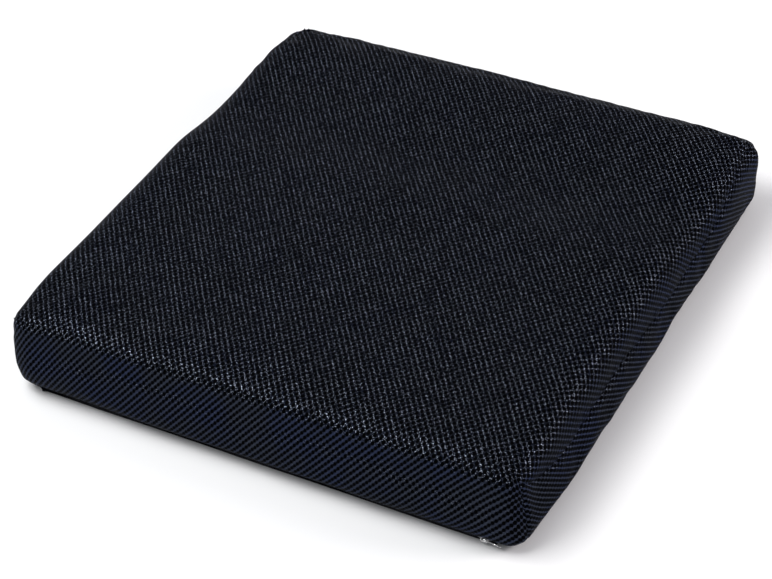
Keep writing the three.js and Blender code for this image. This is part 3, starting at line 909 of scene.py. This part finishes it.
def grip_dots(material):
    """Low rubber domes in staggered rows, printed on the flat of the base."""
    pitch, radius, sides = 12 * MM, 1.7 * MM, 10
    border = corner_radius + 4 * MM
    reach_x, reach_y = half_width - border, half_depth - border
    row_pitch = 0.866 * pitch  # rows of staggered dots stand this close when all neighbours are alike
    rows = int(reach_y / row_pitch)
    columns = int(reach_x / pitch)
    turns = np.linspace(0, 2 * np.pi, sides, endpoint=False)
    circle = np.stack([np.cos(turns), np.sin(turns), np.zeros(sides)], -1)
    sink = grip_height + 0.3 * MM
    rings = [(1.0, sink), (1.0, 0.45 * grip_height), (0.75, 0.12 * grip_height), (0.4, 0.0)]
    dome = np.concatenate([circle * (radius * share, radius * share, 1) + (0, 0, z) for share, z in rings])
    starts = [level * sides for level in range(len(rings) - 1)]
    edges = [(start + k, start + (k + 1) % sides) for start in starts for k in range(sides)]
    faces = [(here, here + sides, beside + sides, beside) for here, beside in edges]
    lids = [tuple(range(sides)), tuple(range(len(dome) - 1, len(dome) - 1 - sides, -1))]
    points, polygons = [], []
    for row in range(-rows, rows + 1):
        for column in range(-columns, columns + 1):
            x = (column + 0.5 * (row % 2)) * pitch
            if abs(x) > reach_x:
                continue
            start = len(points) * len(dome)
            points.append(dome + (x, row * row_pitch, 0))
            polygons += [tuple(start + k for k in face) for face in [*faces, *lids]]
    made = new_object("base_grip_dots", np.concatenate(points), polygons)
    bm = bmesh.new()
    bm.from_mesh(made.data)
    bmesh.ops.recalc_face_normals(bm, faces=bm.faces)
    bm.to_mesh(made.data)
    bm.free()
    dress(made, material)
    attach(made, "cushion")
    return made


# ---------------- zip

def coil(side, sign, material):
    """One side of the zip's chain: a flattened nylon coil, half a turn out of step with the other."""
    node = f"zip_coil_{side}"
    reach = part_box(node)[1].x
    pitch, wire, steps, sides = 1.3 * MM, 0.27 * MM, 12, 6
    near, far = 0.05 * MM, 2.35 * MM
    floor, crest = 11.3 * MM, 12.4 * MM
    turns = int(2 * reach / pitch) - 1
    angle = np.linspace(0, 2 * np.pi * turns, turns * steps + 1)
    shift = 0.25 * pitch * sign
    path = np.stack([
        -reach + wire + pitch * angle / (2 * np.pi) + shift + 0.25 * pitch,
        sign * ((near + far) / 2 - (far - near) / 2 * np.cos(angle)),
        (floor + crest) / 2 + (crest - floor) / 2 * np.sin(angle),
    ], -1)
    made = new_object(node + "_turns", *tube(path, wire, sides))
    made.data.transform(zip_frame)
    dress(made, material)
    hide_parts(node)
    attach(made, "cushion")
    return made


def zip_tapes(material):
    """The two woven tapes that carry the coils, sewn behind the lips and to each other past the stops."""
    radius = bottom_radius - tape_depth
    centre_y = -half_depth + bottom_radius
    reach = zip_half_length + 2 * zip_slot_fade
    columns = np.linspace(-reach, reach, 195)
    past_stops = smooth(np.abs(columns), zip_half_length - zip_slot_fade, zip_half_length)
    half_gap = chain_half_gap * (1 - past_stops)
    edge_turn = half_gap / radius
    upper_turns = np.linspace(0, zip_angle - edge_turn, 8)
    lower_turns = np.linspace(zip_angle + edge_turn, math.pi / 2, 8)

    def bend(turns):
        across = np.broadcast_to(columns, turns.shape)
        y = centre_y - radius * np.cos(turns)
        return np.stack([across, y, bottom_radius - radius * np.sin(turns)], -1)

    heights = np.linspace(tape_top, bottom_radius, 4)[:-1]
    depths = np.linspace(centre_y, tape_back, 4)[1:]
    up_front = [[(x, centre_y - radius, z) for x in columns] for z in heights]
    under = [[(x, y, bottom_radius - radius) for x in columns] for y in depths]
    upper = np.concatenate([up_front, bend(upper_turns)])
    lower = np.concatenate([bend(lower_turns), under])
    cloth_strip("zip_tape_upper", upper, material, tape_thickness)
    cloth_strip("zip_tape_lower", lower, material, tape_thickness)


def tube(path, radius, sides):
    """Points and faces of a closed round tube along a path."""
    ahead = np.gradient(path, axis=0)
    ahead /= np.linalg.norm(ahead, axis=1, keepdims=True)
    level = np.cross(ahead, (1.0, 0.0, 0.0))
    level /= np.linalg.norm(level, axis=1, keepdims=True)
    upward = np.cross(ahead, level)
    turns = np.linspace(0, 2 * np.pi, sides, endpoint=False)
    rings = (
        path[:, None]
        + radius * np.cos(turns)[None, :, None] * level[:, None]
        + radius * np.sin(turns)[None, :, None] * upward[:, None]
    )
    count = len(path)
    faces = [
        (i * sides + k, i * sides + (k + 1) % sides, (i + 1) * sides + (k + 1) % sides, (i + 1) * sides + k)
        for i in range(count - 1) for k in range(sides)
    ]
    faces += [tuple(range(sides))[::-1], tuple(range((count - 1) * sides, count * sides))]
    return rings.reshape(-1, 3), faces


def rounded_copy(node, body, material, width):
    """A CAD piece with its sharp edges rounded off, as cast and plated metal has."""
    made = bpy.data.objects.new(f"{node}_cast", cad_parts[node].data.copy())
    bpy.context.scene.collection.objects.link(made)
    bm = bmesh.new()
    bm.from_mesh(made.data)
    bmesh.ops.remove_doubles(bm, verts=bm.verts, dist=0.002 * MM)
    bmesh.ops.dissolve_limit(bm, angle_limit=math.radians(2), verts=bm.verts, edges=bm.edges)
    bm.to_mesh(made.data)
    bm.free()
    edge = made.modifiers.new("rounding", "BEVEL")
    edge.width = width
    edge.segments = 3
    edge.limit_method = "ANGLE"
    edge.angle_limit = math.radians(35)
    made.data.shade_smooth()
    dress(made, material)
    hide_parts(node)
    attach(made, body)
    return made


# ---------------- inside the cover

def cloth_strip(node, points, material, thickness):
    """A strip of cloth on a grid of points, which stands for a CAD node."""
    weave = np.stack([running_length(points, 1), running_length(points, 0)], -1)
    made = cloth_sheet(f"{node}_cloth", points, weave, thickness)
    dress(made, material)
    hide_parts(node)
    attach(made, "cushion")
    return made


def seam_bindings(material):
    """Tapes that cover the raw edges inside: along the top and base seams, and up each corner."""
    grid = Grid(Form(binding_depth))
    form = grid.form
    across = np.linspace(-binding_half_width, binding_half_width, 7)
    edges = {"right": RIGHT, "back": BACK, "left": LEFT}
    for name, edge in edges.items():
        height = grid.heights()[edge]
        seam = grid.seam_heights()[edge]
        length = form.roll_length(height, seam)
        top = np.array([grid.spread(*form.roll(length + step, height), edge) for step in across])
        cloth_strip(f"seam_binding_top_{name}", top, material, binding_thickness)
        length = form.under_length(base_seam_height)
        base = np.array([grid.spread(*form.under(length - step), edge) for step in across])
        cloth_strip(f"seam_binding_base_{name}", base, material, binding_thickness)
    corners = {"front_right": (0, -1), "rear_right": (-1, -1), "rear_left": (-1, 0), "front_left": (0, 0)}
    for name, corner in corners.items():
        x, y, away, _, _ = (part[corner] for part in grid.plan())
        middle = math.atan2(away[1], away[0])
        turns = middle + across / form.corner
        high = grid.seam_heights()[corner] - binding_half_width
        levels = np.linspace(high, base_seam_height + binding_half_width, 12)
        out = form.wall_out(levels, grid.heights()[corner])[:, None]
        points = np.stack([
            x + np.cos(turns) * out, y + np.sin(turns) * out, levels[:, None] + np.zeros_like(turns),
        ], -1)
        cloth_strip(f"seam_binding_corner_{name}", points, material, binding_thickness)


def closed_form(name, sheets, puff):
    """Sheets joined along their shared edges into one closed, slightly uneven piece."""
    made = new_object(name, *joined(sheets))
    bm = bmesh.new()
    bm.from_mesh(made.data)
    bmesh.ops.remove_doubles(bm, verts=bm.verts, dist=0.02 * MM)
    bmesh.ops.recalc_face_normals(bm, faces=bm.faces)
    for vertex in bm.verts:
        vertex.co += vertex.normal * puff * noise.noise(vertex.co / (18 * MM))
    bm.to_mesh(made.data)
    bm.free()
    return made


def walls(grid, low, high, rows):
    """The four walls of a piece, up to a height, or to its top's own edge where that is None."""
    return [grid.wall(edge, low, rows, high) for edge in (FRONT, RIGHT, BACK, LEFT)]


def core_bottom(form):
    """Height of the seam between the walls and the turned-in base of a piece inside the cover."""
    return form.depth + 0.8 * form.bottom


def foam_layers(firm, soft):
    """The core: a firm slab below, and the softer contoured layer glued on top of it."""
    form = Form(foam_depth)
    grid = Grid(form, columns=40, rows=42, flap=6)
    half_gap = 0.2 * MM
    low = core_bottom(form)
    slab = [grid.base(np.full(grid.plan()[0].shape, low)), grid.lid(foam_split - half_gap)]
    slab += walls(grid, low, foam_split - half_gap, 4)
    firm_layer = closed_form("foam_base_layer_cut", slab, 0.2 * MM)
    contour = [grid.top(), grid.lid(foam_split + half_gap)]
    contour += walls(grid, foam_split + half_gap, None, 3)
    soft_layer = closed_form("foam_comfort_layer_cut", contour, 0.2 * MM)
    for layer, node, material in (
        (firm_layer, "foam_base_layer", firm), (soft_layer, "foam_comfort_layer", soft),
    ):
        dress(layer, material)
        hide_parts(node)
        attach(layer, "cushion")


def liner(material):
    """The thin knitted bag that the core slides into the cover in."""
    grid = Grid(Form(liner_depth), columns=40, rows=42, flap=6)
    low = core_bottom(grid.form)
    sheets = [grid.base(np.full(grid.plan()[0].shape, low)), grid.top(), *walls(grid, low, None, 6)]
    made = closed_form("foam_liner_bag", sheets, 0.25 * MM)
    thicken(made, liner_thickness)
    dress(made, material)
    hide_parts("foam_liner")
    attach(made, "cushion")
    return made


# ---------------- build

def main():
    base_cloth = plain_weave("base_fabric", (0.003, 0.003, 0.004, 1), (0.015, 0.016, 0.019, 1), 0.5 * MM)
    mesh_cloth = spacer_mesh("spacer_mesh")
    strip_cloth = spacer_mesh("spacer_mesh_strip", side_strip=True)
    cover_cloth = {"top_front": mesh_cloth, "base": base_cloth}
    tape = plain_weave("zip_tape", (0.002, 0.002, 0.003, 1), (0.006, 0.006, 0.008, 1), 0.35 * MM)
    binding = plain_weave("binding_tape", (0.006, 0.006, 0.008, 1), (0.030, 0.031, 0.035, 1), 0.45 * MM)
    metal, plastic = nickel(), nylon()

    grids = cover_grids()
    grids = swell(grids)
    for name, grid in grids.items():
        panel, fine = panel_object(name, grid)
        dress(panel, cover_cloth.get(name, strip_cloth))
        cut = running_length(grid, 1, False).max(), running_length(grid, 0, False).max()
        if name in stitched_rows:
            topstitches(f"zip_lip_stitches_{name}", fine, stitched_rows[name], plastic)
    grip_dots(grip_rubber())

    for side, sign in (("upper", 1), ("lower", -1)):
        coil(side, sign, plastic)
    zip_tapes(tape)
    rounded_copy("zip_slider", "slider", metal, 0.22 * MM)
    rounded_copy("zip_pull", "pull", metal, 0.18 * MM)
    for stop in ("zip_stop_bottom", "zip_stop_top_upper", "zip_stop_top_lower"):
        rounded_copy(stop, "cushion", metal, 0.3 * MM)

    seam_bindings(binding)
    liner(jersey())
    firm = foam("firm_foam", (0.74, 0.68, 0.44, 1), (0.66, 0.58, 0.34, 1), 1.4 * MM)
    soft = foam("soft_foam", (0.86, 0.82, 0.70, 1), (0.79, 0.74, 0.60, 1), 0.9 * MM)
    foam_layers(firm, soft)


# ---------------- camera, light and floor

def camera():
    """The view from the front right, a long lens a little under two metres away."""
    azimuth, elevation, roll = math.radians(31.4), math.radians(39.64), math.radians(-4.56)
    distance, sideways, upwards = 1.8146, -0.0096, 0.0003
    picture_width, focal_pixels = 772, 2412
    level_reach = math.cos(elevation)
    back = Vector((
        math.sin(azimuth) * level_reach, -math.cos(azimuth) * level_reach, math.sin(elevation),
    ))
    level = Vector((math.cos(azimuth), math.sin(azimuth), 0))
    above = back.cross(level)
    right = level * math.cos(roll) + above * math.sin(roll)
    up = above * math.cos(roll) - level * math.sin(roll)
    lens = bpy.data.cameras.new("camera")
    lens.sensor_width = 36
    lens.lens = focal_pixels / picture_width * lens.sensor_width
    made = bpy.data.objects.new("camera", lens)
    bpy.context.scene.collection.objects.link(made)
    turned = Matrix((right, up, back)).transposed().to_4x4()
    made.matrix_world = Matrix.Translation(back * distance + right * sideways + up * upwards) @ turned
    bpy.context.scene.camera = made


def area_light(name, place, aim, size, power, colour=(1, 1, 1)):
    lamp = bpy.data.lights.new(name, "AREA")
    lamp.shape = "RECTANGLE"
    lamp.size, lamp.size_y = size
    lamp.energy = power
    lamp.color = colour
    made = bpy.data.objects.new(name, lamp)
    bpy.context.scene.collection.objects.link(made)
    made.location = place
    made.rotation_euler = (Vector(aim) - Vector(place)).to_track_quat("-Z", "Y").to_euler()


def studio():
    floor = new_object("floor", [(-4, -4, 0), (4, -4, 0), (4, 4, 0), (-4, 4, 0)], [(0, 1, 2, 3)])
    dress(floor, floor_paint())
    world = bpy.data.worlds.new("studio")
    world.use_nodes = True
    world.node_tree.nodes["Background"].inputs["Color"].default_value = (0.93, 0.95, 1.0, 1)
    world.node_tree.nodes["Background"].inputs["Strength"].default_value = 0.45
    bpy.context.scene.world = world
    bpy.context.scene.view_settings.view_transform = "Standard"
    area_light("overhead", (-0.65, -0.5, 1.6), (0, 0, 0), (1.4, 1.0), 33)
    area_light("side", (1.9, 0.9, 1.0), (0, 0, 0), (1.2, 1.0), 38, (1.0, 0.94, 0.95))


main()
camera()
studio()
